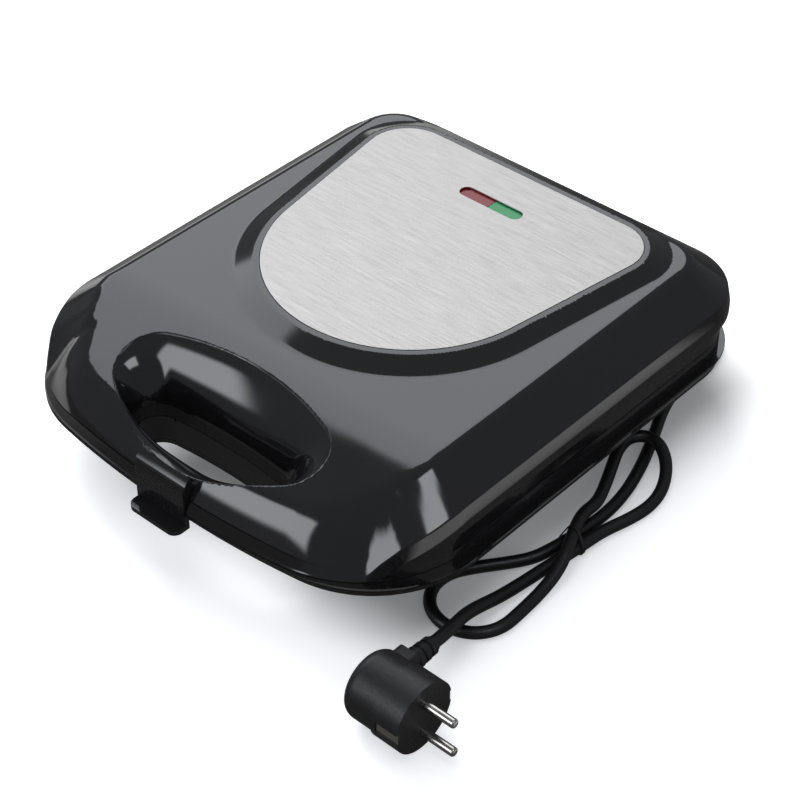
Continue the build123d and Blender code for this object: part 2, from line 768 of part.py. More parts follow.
flange_low = cover_top - cover_thickness
cover = prism(base_undercut_side + cover_inset, flange_low, cover_top,
              base_undercut_front + cover_inset)
tub = slab(-tub_half_width, tub_half_width, tub_front, tub_back, tub_bottom, cover_top)
tub = fillet(tub.edges().filter_by(Axis.Z), tub_corner_radius)
tub = fillet(tub.edges().group_by(Axis.Z)[0], 3.0)
tub_inside = slab(-tub_half_width + wall, tub_half_width - wall, tub_front + wall, tub_back - wall,
                  tub_bottom + wall, cover_top + 1)
tub_inside = fillet(tub_inside.edges().filter_by(Axis.Z), tub_corner_radius - wall)
cover = cover + tub - tub_inside - throat_prism(0.0, flange_low - 1, cover_top + 1)
for n in range(vent_count):
    vent_y = plate_y + (n - (vent_count - 1) / 2) * vent_pitch
    slot = Plane(origin=(0, vent_y, tub_bottom - 1)) * SlotOverall(vent_length, vent_width)
    cover = cover - extrude(slot, wall + 2)
foot_places = [(sx * (tub_half_width - foot_inset), y) for sx in (-1, 1)
               for y in (tub_front + foot_inset, tub_back - foot_inset)]
for px, py in foot_places:
    cover = cover - rod(px, py, tub_bottom - 1, tub_bottom + foot_recess, foot_radius)
for px, py in base_places + pillar_places():
    cover = cover - rod(px, py, flange_low - 1, cover_top + 1, screw_radius + 0.2)
cover = cover - Pos(gland_x, tub_back - wall / 2, gland_z) * Rot(90, 0, 0) * Cylinder(
    gland_neck_radius, wall * 2)
parts["base_cover"] = cover
parts["base_screws"] = [screw(px, py, flange_low - screw_head_height, base_screw_length)
                        for px, py in base_places]
feet = []
for px, py in foot_places:
    foot = rod(px, py, 0, tub_bottom + foot_recess, foot_radius)
    feet.append(fillet(foot.edges().group_by(Axis.Z)[0], 1.2))
parts["base_feet"] = feet


# Control parts in the base


thermostat_y = plate_y - plate_depth / 2 + 6.8
body_top = plate_low_face - plate_thickness - boss_gap
thermostat = rod(30, thermostat_y, body_top - 6, body_top, 6.0)
thermostat = thermostat + slab(26, 34, thermostat_y - 4, thermostat_y + 4, body_top - 9, body_top - 5)
parts["thermostat"] = thermostat
parts["thermal_fuse"] = across(-42, -18, thermostat_y, body_top - 2.5, 2.5)
block_y = tub_back - wall - 9
block_z = tub_bottom + wall + boss_gap
block = slab(5, 35, block_y - 5.5, block_y + 5.5, block_z, block_z + 11)
for n in range(3):
    block = block - rod(10 + 10 * n, block_y, block_z + 5, block_z + 12, 2.4)
parts["terminal_block"] = block


# Latch: clip with a finger tab, hung on a steel pin in the front of the lid


plate_front = latch_pin_y - latch_outer_radius
plate_back = plate_front + latch_thickness
half_latch = latch_width / 2
cap = pin_sector(latch_outer_radius - latch_thickness, latch_outer_radius, half_latch)
lean = tan(radians(latch_top_angle))
front_part = side_profile([(latch_pin_y, latch_pin_z), (latch_pin_y - lean * 30, latch_pin_z + 30),
                           (front_far, latch_pin_z + 30), (front_far, latch_pin_z)], half_latch + 1)
cap = cap & front_part
face = slab(-half_latch, half_latch, plate_front, plate_back, latch_bottom, latch_pin_z)
tab = slab(-half_latch, half_latch, -latch_tab_reach, plate_back, latch_bottom,
           latch_bottom + latch_tab_thickness)
tab_edges = [e for e in tab.edges().filter_by(Axis.Z) if e.center().Y < -latch_tab_reach + 0.1]
tab = fillet(tab_edges, latch_tab_radius)
hook_tip = latch_recess_y - catch_reach - latch_hook_gap
hook = slab(-half_latch + 2, half_latch - 2, plate_back - 1, hook_tip,
            catch_bottom - 0.4 - latch_hook_height, catch_bottom - 0.4)
latch = cap + face + tab + hook
cheek_outline = side_profile([
    (latch_pin_y, latch_pin_z - hub_radius), (latch_pin_y - lean * 7, latch_pin_z + 7),
    (plate_back - 0.5, latch_pin_z + 3), (plate_back - 0.5, latch_pin_z - 4.2)], half_latch)
cheek_outline = cheek_outline + pin_sector(0, hub_radius, half_latch)
inner_half = half_latch - 2.6
latch = latch + (cheek_outline - slab(-inner_half, inner_half, -200, 0, 0, 100))
latch = latch - pin_sector(0, latch_pin_radius + latch_pin_fit, half_latch + 1)
parts["latch"] = latch
parts["latch_pin"] = pin_sector(0, latch_pin_radius, latch_pin_reach)


# Strain relief where the cord leaves the base


relief = [(0, tub_back - wall - 2.4), (gland_flange_radius, tub_back - wall - 2.4),
          (gland_flange_radius, tub_back - wall), (gland_neck_radius, tub_back - wall),
          (gland_neck_radius, tub_back), (gland_root_radius + 1.4, tub_back),
          (gland_root_radius + 1.4, tub_back + 2.4)]
rib_step = (gland_length - 4.0) / gland_rib_count
for n in range(gland_rib_count):
    y0 = tub_back + 2.4 + n * rib_step
    r0 = gland_root_radius + (gland_tip_radius - gland_root_radius) * n / gland_rib_count
    relief += [(r0 - gland_rib_depth, y0), (r0 - gland_rib_depth, y0 + rib_step * 0.4),
               (r0, y0 + rib_step * 0.4), (r0, y0 + rib_step)]
gland_tip = tub_back + gland_length
relief += [(gland_tip_radius - 0.4, tub_back + 2.4 + gland_rib_count * rib_step),
           (gland_tip_radius - 0.4, gland_tip), (0, gland_tip)]
relief = revolve(make_face(Polyline(*relief, close=True)), Axis.Y, 360)
parts["cord_gland"] = Pos(gland_x, 0, gland_z) * relief


# Supply cord: from the relief round under the rear, tied hank on the right, plug lead


def turn_radii(points):
    """Arc radius for each corner: 0.45 of the shorter run over tan of half the turn."""
    radii = []
    for a, b, c in zip(points, points[1:], points[2:]):
        u, w = Vector(*b) - Vector(*a), Vector(*c) - Vector(*b)
        angle = radians(u.get_angle(w))
        radii.append(0.45 * min(u.length, w.length) / tan(angle / 2))
    return radii


def tube(name, points):
    radii = turn_radii(points)
    path = FilletPolyline(*points, radius=radii)
    start = Plane(origin=path @ 0, z_dir=path % 0)
    solid = sweep(start * Circle(cord_radius), path=path)
    section = pi * cord_radius ** 2 * path.length
    print(name, "length", round(path.length, 1), "volume ratio", round(solid.volume / section, 4),
          "least radius", round(min(radii), 1), "radii", [round(r) for r in radii])
    parts[name] = solid
    return path


# Where the three strands of the hank pass the wire tie
tie_y = -18.0
strands = [(140.96, 4.29), (148.54, 4.18), (144.99, 12.34)]

lead_points = [
    (gland_x, gland_tip, gland_z), (gland_x, 160.0, gland_z), (68.2, 171.2, 13.0), (78.6, 177.3, 7.8),
    (90.3, 176.9, 4.2), (100.5, 170.7, 3.5), (107.6, 157.6, 3.5), (108.2, 138.7, 3.6),
    (110.4, 117.4, 3.5), (115.8, 97.9, 3.5), (123.3, 81.3, 3.5), (129.7, 66.5, 3.5),
    (135.9, 49.9, 3.6), (141.3, 30.7, 3.6), (143.6, 10.7, 3.7), (142.75, -0.3, 3.95)]
hank_points = [
    (142.75, -0.3, 3.95), (141.9, -11.3, 4.2), (139.7, -27, 4.4), (136.2, -38.9, 3.8),
    (128.4, -50.1, 3.5), (119.6, -61.3, 3.5), (111.2, -74.7, 3.5), (111.9, -88.8, 3.5),
    (120.7, -99.9, 3.5), (134.4, -103.6, 3.5), (147.7, -98.6, 3.5), (155.6, -86.7, 3.6),
    (155.1, -69.8, 3.5), (154.3, -53.9, 4.1), (153.2, -40.1, 7.2), (149.4, -27.4, 11.4),
    (143.3, -14.4, 12.7), (138.1, -1.8, 10.3), (135.6, 11.2, 5.9), (131.7, 26.4, 3.6),
    (123.6, 36.6, 3.8), (116.4, 46.8, 6.3), (116.4, 59.1, 9.3), (123.5, 69.5, 11.1),
    (135.2, 74.3, 10.5), (147.4, 71.9, 7.9), (156.1, 62.7, 5.0), (157.9, 49.7, 3.6),
    (157.5, 36.5, 3.5), (156.8, 23.0, 3.6), (154.5, 7.9, 3.8), (150.1, -9.7, 4.3),
    (148.8, -16.6, 4.2)]
plug_lead_points = [
    (148.8, -16.6, 4.2), (147.5, -23.5, 4.1), (145, -41, 3.6), (143.2, -56.7, 3.8),
    (141.6, -72.6, 5), (141.1, -86, 9), (142.5, -98.6, 13.8),
    (145.4, -109.6, 17.6), (plug_cord_x, -118.5, plug_z),
    (plug_cord_x, plug_cord_y, plug_z)]
tube("cord_lead", lead_points)
hank_path = tube("cord_hank", hank_points)
tube("cord_plug_lead", plug_lead_points)


def least_gap(path, steps, skip):
    """Least distance of a tube to itself, measured between points along its line."""
    spots = [path @ (n / steps) for n in range(steps + 1)]
    step = path.length / steps
    best = 1e9
    for i, p in enumerate(spots):
        for j in range(i + int(skip / step), steps + 1):
            best = min(best, (p - spots[j]).length)
    return best - cord_diameter


print("hank least gap to itself", round(least_gap(hank_path, 400, 40.0), 2))


# Wire tie round the three strands


bundle = make_face(Polyline(*strands, close=True))
band = offset(bundle, cord_radius + tie_gap + tie_thickness) - offset(bundle, cord_radius + tie_gap)
tie = Pos(0, tie_y, 0) * Rot(90, 0, 0) * extrude(band, tie_width / 2, both=True)
parts["cord_tie"] = tie


# Plug: earthed two pin plug, cord from the side


def along_x(x0, x1, y, z, radius):
    return Pos((x0 + x1) / 2, y, z) * Rot(0, 90, 0) * Cylinder(radius, x1 - x0)


nose = along_x(plug_face_x - plug_nose_length, plug_face_x, plug_y, plug_z, plug_radius)
back_x = plug_face_x - plug_nose_length - plug_body_depth
body = along_x(back_x, plug_face_x - plug_nose_length, plug_y, plug_z, plug_radius - 1.0)
body = fillet(body.edges().group_by(Axis.X)[0], 6.0)
neck = slab(back_x + 1.5, back_x + 14.5, plug_y, plug_cord_y - boot_length + 8, plug_z - 8, plug_z + 8)
neck = fillet(neck.edges().filter_by(Axis.Y), 3.0)
plug_body = nose + body + neck
for side in (-1, 1):
    groove = slab(plug_face_x - plug_nose_length + 3, plug_face_x + 1, plug_y + side * plug_radius - 1.6,
                  plug_y + side * plug_radius + 1.6, plug_z - earth_clip_width / 2,
                  plug_z + earth_clip_width / 2)
    plug_body = plug_body - groove
boot_start = plug_cord_y - boot_length
boot = [(0, boot_start)]
boot_step = boot_length / boot_rib_count
for n in range(boot_rib_count):
    y0 = boot_start + n * boot_step
    r0 = 6.2 - 1.6 * n / boot_rib_count
    boot += [(r0, y0), (r0, y0 + boot_step * 0.6), (r0 - 1.0, y0 + boot_step * 0.6),
             (r0 - 1.0, y0 + boot_step)]
boot += [(0, plug_cord_y)]
boot = revolve(make_face(Polyline(*boot, close=True)), Axis.Y, 360)
plug_body = plug_body + Pos(plug_cord_x, 0, plug_z) * boot
parts["plug_body"] = plug_body
plug_pins = []
for side in (-1, 1):
    z = plug_z + side * pin_spacing / 2
    pin = along_x(plug_face_x, plug_face_x + pin_length, plug_y, z, pin_radius)
    plug_pins.append(fillet(pin.edges().group_by(Axis.X)[-1], 1.4))
parts["plug_pins"] = plug_pins
clips = []
for side in (-1, 1):
    y = plug_y + side * (plug_radius - 1.6 + earth_clip_thickness / 2)
    clips.append(slab(plug_face_x - plug_nose_length + 3, plug_face_x, y - earth_clip_thickness / 2,
                      y + earth_clip_thickness / 2, plug_z - earth_clip_width / 2,
                      plug_z + earth_clip_width / 2))
parts["plug_earth_clips"] = clips


# Output: one file for each node


os.makedirs("parts", exist_ok=True)
for name, shape in parts.items():
    solids = []
    for piece in (shape if isinstance(shape, list) else [shape]):
        solids += piece.solids()
    export_step(solids[0] if len(solids) == 1 else Compound(children=solids), f"parts/{name}.step")
print(len(parts), "nodes")
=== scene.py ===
from math import atan2, cos, pi, radians, sin, sqrt

import bmesh
import bpy
import numpy as np
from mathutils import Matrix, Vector
from mathutils.geometry import delaunay_2d_cdt


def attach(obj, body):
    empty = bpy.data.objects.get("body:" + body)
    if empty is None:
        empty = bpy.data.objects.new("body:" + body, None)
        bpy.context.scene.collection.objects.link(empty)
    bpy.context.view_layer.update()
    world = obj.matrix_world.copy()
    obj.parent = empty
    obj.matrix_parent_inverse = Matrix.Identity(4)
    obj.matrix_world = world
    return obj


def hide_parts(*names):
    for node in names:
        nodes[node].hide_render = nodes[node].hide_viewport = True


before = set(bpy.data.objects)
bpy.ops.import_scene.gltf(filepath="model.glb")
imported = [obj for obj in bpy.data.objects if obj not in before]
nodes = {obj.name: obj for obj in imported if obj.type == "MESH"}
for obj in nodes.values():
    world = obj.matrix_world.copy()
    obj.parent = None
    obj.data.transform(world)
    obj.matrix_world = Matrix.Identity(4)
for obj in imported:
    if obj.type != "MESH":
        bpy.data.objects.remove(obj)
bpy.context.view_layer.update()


# Base cover and feet
# The cover closes the base from below: a black moulding with a matt spark texture,
# with a tub that holds the lower pan and the wiring. Four rubber feet are pressed into its corners.

def finish(name, colour, roughness, **sockets):
    """New material with one shader; other sockets of the shader are given by name."""
    material = bpy.data.materials.new(name)
    material.use_nodes = True
    shader = material.node_tree.nodes["Principled BSDF"]
    shader.inputs["Base Color"].default_value = (*colour, 1.0)
    shader.inputs["Roughness"].default_value = roughness
    for socket, value in sockets.items():
        shader.inputs[socket.replace("_", " ")].default_value = value
    return material


def grain(material, scale, depth, rough=None, tones=None, stretch=(1, 1, 1), detail=3.0):
    """Noise in the object's own space that drives bump, roughness and colour."""
    tree = material.node_tree
    shader = tree.nodes["Principled BSDF"]
    place = tree.nodes.new("ShaderNodeTexCoord")
    mapping = tree.nodes.new("ShaderNodeMapping")
    mapping.inputs["Scale"].default_value = stretch
    noise = tree.nodes.new("ShaderNodeTexNoise")
    noise.inputs["Scale"].default_value = scale
    noise.inputs["Detail"].default_value = detail
    tree.links.new(place.outputs["Object"], mapping.inputs["Vector"])
    tree.links.new(mapping.outputs["Vector"], noise.inputs["Vector"])
    if depth:
        bump = tree.nodes.new("ShaderNodeBump")
        bump.inputs["Distance"].default_value = depth
        tree.links.new(noise.outputs["Fac"], bump.inputs["Height"])
        if shader.inputs["Normal"].is_linked:
            earlier = shader.inputs["Normal"].links[0].from_socket
            tree.links.new(earlier, bump.inputs["Normal"])
        tree.links.new(bump.outputs["Normal"], shader.inputs["Normal"])
    if rough:
        spread = tree.nodes.new("ShaderNodeMapRange")
        spread.inputs["From Min"].default_value = 0.3
        spread.inputs["From Max"].default_value = 0.7
        spread.inputs["To Min"].default_value = rough[0]
        spread.inputs["To Max"].default_value = rough[1]
        tree.links.new(noise.outputs["Fac"], spread.inputs["Value"])
        tree.links.new(spread.outputs["Result"], shader.inputs["Roughness"])
    if tones:
        ramp = tree.nodes.new("ShaderNodeValToRGB")
        ramp.color_ramp.elements[0].position = 0.3
        ramp.color_ramp.elements[0].color = (*tones[0], 1.0)
        ramp.color_ramp.elements[1].position = 0.7
        ramp.color_ramp.elements[1].color = (*tones[1], 1.0)
        tree.links.new(noise.outputs["Fac"], ramp.inputs["Fac"])
        tree.links.new(ramp.outputs["Color"], shader.inputs["Base Color"])
    return material


def dress(material, *names):
    for name in names:
        mesh = nodes[name].data
        mesh.materials.clear()
        mesh.materials.append(material)


matt_moulding = finish("matt_moulding", (0.02, 0.02, 0.021), 0.5)
grain(matt_moulding, 900.0, 0.00008, rough=(0.42, 0.6))
dress(matt_moulding, "base_cover")

foot_rubber = finish("foot_rubber", (0.03, 0.03, 0.03), 0.8)
grain(foot_rubber, 500.0, 0.0001, rough=(0.7, 0.9), tones=((0.022, 0.022, 0.022), (0.04, 0.04, 0.04)))
dress(foot_rubber, "base_feet")


# Reflector pans
# Pressed bright aluminium dishes behind each plate. They keep the heat off the mouldings
# and hang on the screws that hold the plates.

bright_sheet = finish("bright_sheet", (0.76, 0.76, 0.77), 0.3, Metallic=1.0)
grain(bright_sheet, 260.0, 0.00004, rough=(0.24, 0.42), stretch=(1, 8, 1))
dress(bright_sheet, "lower_reflector", "upper_reflector")


# Heating elements
# Bent steel tubes filled with magnesia, with ceramic beads at their ends.
# Spring steel saddles clamp them against the backs of the plates.

burnt_steel = finish("burnt_steel", (0.16, 0.15, 0.13), 0.45, Metallic=0.9)
grain(burnt_steel, 90.0, 0.00003, rough=(0.35, 0.6), tones=((0.10, 0.095, 0.09), (0.24, 0.21, 0.17)))
dress(burnt_steel, "lower_heater", "upper_heater")

ceramic = finish("ceramic", (0.8, 0.77, 0.7), 0.55)
grain(ceramic, 400.0, 0.00005, rough=(0.45, 0.65), tones=((0.74, 0.71, 0.63), (0.84, 0.81, 0.75)))
dress(ceramic, "lower_heater_ends", "upper_heater_ends", "thermal_fuse", "terminal_block")

spring_steel = finish("spring_steel", (0.6, 0.6, 0.6), 0.32, Metallic=1.0)
grain(spring_steel, 300.0, 0.00003, rough=(0.25, 0.4))
dress(spring_steel, "lower_heater_saddles", "upper_heater_saddles", "thermostat")


# Baking plates
# Cast light alloy, with twelve walnut moulds each, sprayed with a dark non-stick coating
# that shows fine speckles.

coating = finish("coating", (0.02, 0.02, 0.022), 0.32)
grain(coating, 1400.0, 0.00003, rough=(0.26, 0.42), tones=((0.014, 0.014, 0.015), (0.045, 0.045, 0.048)))
dress(coating, "lower_plate", "upper_plate")


# Screws and pins
# Zinc plated steel, turned and pressed. The screws hold the plates, the lid liner and the base cover;
# the pins carry the hinge and the latch.

zinc = finish("zinc", (0.58, 0.58, 0.6), 0.28, Metallic=1.0)
grain(zinc, 700.0, 0.00002, rough=(0.2, 0.38))
dress(zinc, "lower_plate_screws", "upper_plate_screws", "lid_screws", "base_screws")
dress(zinc, "hinge_pins", "latch_pin")


# Base shell
# Glossy black moulding under the seam, with half of the grip channel and the ears of the hinge.
# The block behind the latch, with the catch for its hook, belongs to it.

gloss_black = finish("gloss_black", (0.008, 0.008, 0.009), 0.09, Specular_IOR_Level=1.0)
grain(gloss_black, 24.0, 0.00012, rough=(0.06, 0.12), detail=1.0)
dress(gloss_black, "base_shell", "catch_block")


# Lid liner
# Matt black frame inside the lid, round the upper plate, with the collar of the hand hole.
# It closes the lid from below and is screwed to the shell.

dress(matt_moulding, "lid_liner")


# Lid shell
# Glossy black moulding: flat top that slopes down to the front, bevelled edge, raised seat for the
# panel and the funnel of the hand hole. Half of the grip channel runs round its lower edge.

half_width, front_reach, rear_reach = 134.0, 161.2, 154.0
front_bow, front_corner, rear_corner = 528.0, 68.0, 42.0
bow_y = front_bow - front_reach
corner_x = half_width - front_corner
corner_y = bow_y - sqrt((front_bow - front_corner) ** 2 - corner_x ** 2)
top_z, slope_start, slope = 86.5, -92.0, 0.352
lip_width, lip_z, foot_z = 3.6, 91.0, 86.0
panel_line = (-56.6, 119.5, 79.0, 8.8, 24.0)
foot_line = (-73.4, 133.0, 93.5, 8.0, 34.0)
edge_inset, edge_round = 2.6, 0.9
notch_half, notch_back, notch_foot = 17.4, -153.0, -156.8
hole_front, hole_back = -152.6, -91.7
lid_low, recess_z, throat_z = 44.2, 50.8, 55.0
rim_inset, edge_blend, front_blend, top_blend = 1.7, 2.4, 21.0, 5.0
ring_fall, ring_blend = 0.9, 0.7
wall_drop, wall_low, merge_inset = 8.0, 44.9, 1.2
channel_depth, channel_top, channel_front, channel_end, channel_half = 3.5, 56.5, -98.0, 6.0, 100.0


def outline_right(step):
    """Right half of the body outline from the rear middle to the latch, as points and outward normals."""
    line = [(x, rear_reach, 0, 1) for x in np.arange(0, half_width - rear_corner, step)]
    ends = [np.arcsin((channel_half - half_width + rear_corner) / rear_corner)]
    cx, cy = half_width - rear_corner, rear_reach - rear_corner
    for a in np.sort(np.r_[np.arange(0, pi / 2, step / rear_corner), ends]):
        line.append((cx + rear_corner * sin(a), cy + rear_corner * cos(a), sin(a), cos(a)))
    line += [(half_width, y, 1, 0) for y in np.arange(rear_reach - rear_corner, corner_y, -step)]
    meet = atan2(bow_y - corner_y, corner_x)
    ends = [np.arcsin((corner_y - channel_front) / front_corner)]
    for a in np.sort(np.r_[np.arange(0, meet, step / front_corner), ends]):
        line.append((corner_x + front_corner * cos(a), corner_y - front_corner * sin(a), cos(a), -sin(a)))
    stop = np.arccos(notch_half / front_bow)
    for a in np.r_[np.arange(meet, stop - step / front_bow / 2, step / front_bow), stop]:
        line.append((front_bow * cos(a), bow_y - front_bow * sin(a), cos(a), -sin(a)))
    return np.array(line)


def both_sides(points):
    """Right half of a line, and its mirror image on the way back."""
    return np.vstack([points, (points * (-1, 1))[::-1][:-1]])


def moved_in(line, inset):
    return line[:, :2] - line[:, 2:] * inset


def inward(x, y):
    """Distance in from the body outline, and the forward angle of the nearest edge in degrees."""
    x = np.abs(x)
    ahead = corner_y - y
    side, rear = half_width - x, rear_reach - y
    bow = front_bow - np.hypot(x, bow_y - y)
    depth = np.minimum(np.minimum(side, rear), bow)
    turn = np.where(depth == bow, np.degrees(np.arctan2(bow_y - y, x)), 0.0)
    turn = np.where(depth == rear, -90.0, turn)
    in_bow = x * (bow_y - corner_y) < corner_x * (bow_y - y)
    front = (ahead > 0) & (x > corner_x) & ~in_bow
    depth = np.where(front, front_corner - np.hypot(x - corner_x, ahead), depth)
    turn = np.where(front, np.degrees(np.arctan2(ahead, x - corner_x)), turn)
    bx, by = x - (half_width - rear_corner), y - (rear_reach - rear_corner)
    back = (bx > 0) & (by > 0)
    depth = np.where(back, rear_corner - np.hypot(bx, by), depth)
    turn = np.where(back, -np.degrees(np.arctan2(by, bx)), turn)
    return depth, turn


def blend_low(a, b, size):
    """Lower of two heights, with a rounded corner of that size between them."""
    share = np.clip(0.5 + 0.5 * (b - a) / size, 0, 1)
    return b * (1 - share) + a * share - size * share * (1 - share)


def grown(line, grow):
    front, back, nose, taper, corner = line
    return front - grow, back + grow, nose + grow, taper, corner + grow


def panel_corner(line):
    front, back, nose, taper, corner = line
    a, oy = radians(taper), back - corner
    return (nose - corner + (oy - front - nose) * sin(a)) / cos(a), oy


def in_line(x, y, line):
    """Distance inside the panel's outline: round nose, tapering sides, rounded back corners."""
    front, back, nose, taper, corner = line
    x, a, cy = np.abs(x), radians(taper), front + nose
    depth = np.minimum(nose - (x * cos(a) - (y - cy) * sin(a)), back - y)
    depth = np.where(x * sin(a) + (y - cy) * cos(a) < 0, nose - np.hypot(x, y - cy), depth)
    ox, oy = panel_corner(line)
    vx, vy = x - ox, y - oy
    return np.where((vx * sin(a) + vy * cos(a) > 0) & (vx > 0), corner - np.hypot(vx, vy), depth)


def evened(turns, values, width):
    """Smooth curve through the values that a form has at some forward angles."""
    line = np.interp(np.arange(-140, 141), turns, values)
    share = np.hanning(width + 2)
    return np.convolve(line, share / share.sum(), "same")[20:-20]


rim_line = evened([-90, 0, 10, 20, 30, 38, 43, 47, 60, 90],
                  [70, 70, 68.6, 65.6, 61.8, 55.0, 50.2, 46.8, 47.9, 49.2], 7)
slope_line = evened([-90, 0, 7, 21, 32, 42, 53, 70, 90],
                    [0.76, 0.78, 0.74, 0.71, 0.82, 1.16, 1.66, 2.3, 2.6], 13)


def rim_height(turn):
    """Height of the edge between bevel and band; it falls to the seam at the front corners."""
    return np.interp(turn, np.arange(-120, 121), rim_line)


def bevel_slope(turn):
    return np.interp(turn, np.arange(-120, 121), slope_line)


def lid_height(x, y):
    """Height of the lid's surface: bevel, flat and sloping top, and the ring under the panel."""
    depth, turn = inward(x, y)
    t = np.clip((turn - 35.0) / 30.0, 0, 1)
    bevel = rim_height(turn) + bevel_slope(turn) * (depth - rim_inset)
    top = blend_low(np.full_like(x, top_z), top_z + slope * (y - slope_start), top_blend)
    body = blend_low(bevel, top, edge_blend + front_blend * t * t * (3 - 2 * t))
    inner = in_line(x, y, grown(panel_line, lip_width))
    outer = in_line(x, y, foot_line)
    share = np.clip(outer / np.maximum(outer - np.minimum(inner, 0), 1e-6), 0, 1)
    ring = np.where(outer > 0, foot_z + (lip_z - foot_z) * share, foot_z + outer * ring_fall)
    ring = np.where(inner > 0, lip_z, ring)
    return -blend_low(-body, -ring, ring_blend)


def panel_ring(line, step):
    """Points round the panel's outline."""
    front, back, nose, taper, corner = line
    a, cy = radians(taper), front + nose
    ox, oy = panel_corner(line)
    points = [(nose * sin(t), cy - nose * cos(t)) for t in np.arange(0, pi / 2 - a, step / nose)]
    px, py = nose * cos(a), cy - nose * sin(a)
    sx, sy = ox + corner * cos(a), oy - corner * sin(a)
    points += [(px + (sx - px) * t, py + (sy - py) * t)
               for t in np.linspace(0, 1, int(np.hypot(sx - px, sy - py) / step))[:-1]]
    points += [(ox + corner * cos(t), oy + corner * sin(t))
               for t in np.linspace(-a, pi / 2, max(3, int(corner * (pi / 2 + a) / step)))]
    points += [(ox * (1 - t), back) for t in np.linspace(0, 1, int(ox / step))[1:]]
    return np.array(points + [(-x, y) for x, y in reversed(points[1:-1])])


def oval(front, back, front_radius, back_radius, end_radius, grow, count=240):
    """Points round the hand hole: two long arcs joined by round ends, evenly spaced."""
    f, b = front - grow, back + grow
    rf, rb, re = front_radius + grow, back_radius + grow, end_radius + grow
    fy, by = f + rf, b - rb
    df, db = rf - re, rb - re
    ey = (db ** 2 - df ** 2 - by ** 2 + fy ** 2) / (2 * (fy - by))
    ex = sqrt(df ** 2 - (ey - fy) ** 2)
    a0, a1 = atan2(ex, fy - ey), atan2(ex, ey - by)
    right = [(rf * sin(t), fy - rf * cos(t)) for t in np.linspace(0, a0, 40)[:-1]]
    right += [(ex + re * sin(t), ey - re * cos(t)) for t in np.linspace(a0, pi - a1, 60)[:-1]]
    right += [(rb * sin(t), by + rb * cos(t)) for t in np.linspace(a1, 0, 40)]
    line = np.array(right + [(-x, y) for x, y in reversed(right[:-1])])
    run = np.r_[0, np.cumsum(np.hypot(*np.diff(line, axis=0).T))]
    at = np.linspace(0, run[-1], count + 1)[:-1]
    return np.stack([np.interp(at, run, line[:, 0]), np.interp(at, run, line[:, 1])], axis=1)


def hole_edge(grow):
    """Edge of the hand hole seen from above; the oval lies on the slope."""
    rise = sqrt(1 + slope ** 2)
    half = (hole_back - hole_front) / 2 * rise
    flat = oval(-half, half, 100.0, 150.0, 20.0, grow)
    return np.stack([flat[:, 0], (hole_front + hole_back) / 2 + flat[:, 1] / rise], axis=1)


def lid_surface(points):
    """Height of the lid, which turns down with a small radius at the edge of the hand hole."""
    z = lid_height(points[:, 0], points[:, 1])
    near = (np.abs(points[:, 0]) < 70) & (points[:, 1] < hole_back + 3)
    spots, best = points[near], np.full(near.sum(), edge_round)
    for p, q in zip(hole_line, np.roll(hole_line, -1, axis=0)):
        d = q - p
        t = np.clip(((spots - p) @ d) / (d @ d), 0, 1)
        best = np.minimum(best, np.hypot(*(spots - (p + t[:, None] * d)).T))
    z[near] -= edge_round - np.sqrt(edge_round ** 2 - (edge_round - best) ** 2)
    return z


def inside(points, loop):
    x, y = points[:, 0], points[:, 1]
    hit = np.zeros(len(points), bool)
    for (x0, y0), (x1, y1) in zip(loop, np.roll(loop, -1, axis=0)):
        if y0 != y1:
            hit ^= (y > min(y0, y1)) & (y <= max(y0, y1)) & (x < x0 + (y - y0) * (x1 - x0) / (y1 - y0))
    return hit


hole_line = hole_edge(0.0)
body_line = outline_right(1.5)
edge_right = moved_in(body_line, edge_inset)
bite = [(x, notch_back) for x in np.linspace(notch_half, -notch_half, 16)]
edge_loop = np.vstack([edge_right, bite, (edge_right * (-1, 1))[::-1][:-1]])
loops = [edge_loop, hole_line, panel_ring(grown(panel_line, 0.4), 2.0)]

bevel_insets = (3.2, 4.2, 5.5, 7, 8.5, 10, 12, 14.5, 17, 19.5, 21.5,
                23, 24.2, 25.2, 26, 26.8, 27.8, 29, 31, 34)
foot_grows = (2.5, 1.4, 0.7, 0.35, 0, -0.35, -0.7, -1.4, -3, -5, -7, -9, -11)
lip_grows = (0.7, 1.2, 1.8, 2.4, 2.8, 3.2, 3.6, 4, 4.4, 5, 6, 8)
rings = [both_sides(moved_in(body_line[::2], inset)) for inset in bevel_insets]
rings += [panel_ring(grown(foot_line, grow), 2.5) for grow in foot_grows]
rings += [panel_ring(grown(panel_line, grow), 2.0) for grow in lip_grows]
rings += [hole_edge(grow) for grow in (0.15, 0.35, 0.6, 0.9, 1.4, 2.2, 3.5, 5.5, 8.0)]
across, along = np.meshgrid(np.arange(-130, 131, 3.5), np.arange(-158, 152, 3.5))
rings.append(np.stack([across.ravel() + 1.75 * (np.arange(across.size) % 2), along.ravel()], axis=1))
spots = np.vstack(rings)
spots = spots[inside(spots, loops[0]) & ~inside(spots, loops[1]) & ~inside(spots, loops[2])]
_, first = np.unique(np.round(spots / 0.55).astype(int), axis=0, return_index=True)
spots = np.vstack(loops + [spots[np.sort(first)]])
lines, start = [], 0
for loop in loops:
    lines += [(start + i, start + (i + 1) % len(loop)) for i in range(len(loop))]
    start += len(loop)
flat, _, triangles, *_ = delaunay_2d_cdt([Vector(p) for p in spots], lines, [], 0, 0.001)
flat = np.array([tuple(p) for p in flat])
middles = flat[np.array(list(triangles))].mean(axis=1)
kept = inside(middles, loops[0]) & ~inside(middles, loops[1]) & ~inside(middles, loops[2])
lid_faces = [t for t, keep in zip(triangles, kept) if keep]
dx = np.clip((lid_surface(flat + (0.04, 0)) - lid_surface(flat - (0.04, 0))) / 0.08, -9, 9)
